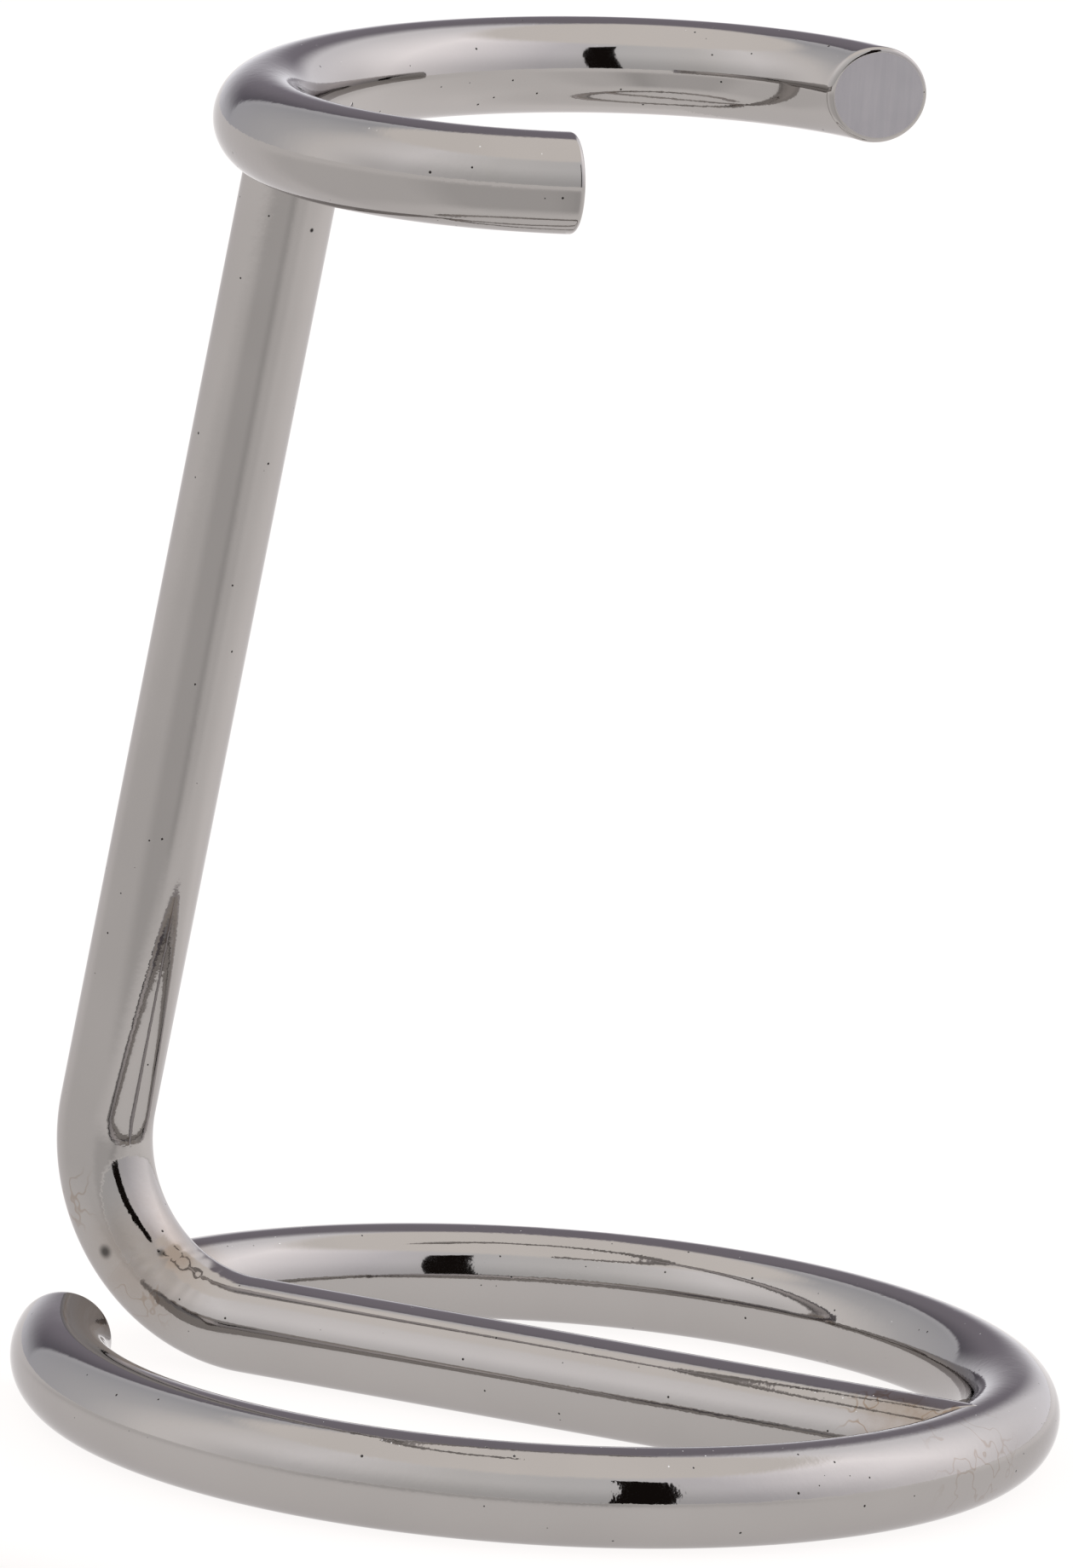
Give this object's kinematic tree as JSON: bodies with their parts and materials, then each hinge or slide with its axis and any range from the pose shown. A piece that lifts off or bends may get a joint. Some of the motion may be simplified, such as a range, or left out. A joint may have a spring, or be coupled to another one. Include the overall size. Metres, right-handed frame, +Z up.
{
  "type": "open-ring countertop stand",
  "caption": "Countertop stand of bent round chrome bar: flat base ring, straight foot, leaning post and an open top ring that something slides into from the front.",
  "frame": {"origin": "centre of the base ring, on the surface that the stand rests on", "axes": "+Z up, +X along the foot and out of the top ring's opening"},
  "size_m": [0.0888, 0.086, 0.1123],
  "materials": {
    "chrome_bar": "bright chrome plate on polished steel bar",
    "chrome_weld": "bright chrome plate on ground weld metal, slightly warmer and duller"
  },
  "bodies": {
    "root": {"top_ring": "chrome_bar", "base_ring": "chrome_bar", "post_and_foot": "chrome_bar", "top_weld": "chrome_weld", "foot_weld": "chrome_weld", "base_weld": "chrome_weld"}
  },
  "joints": []
}
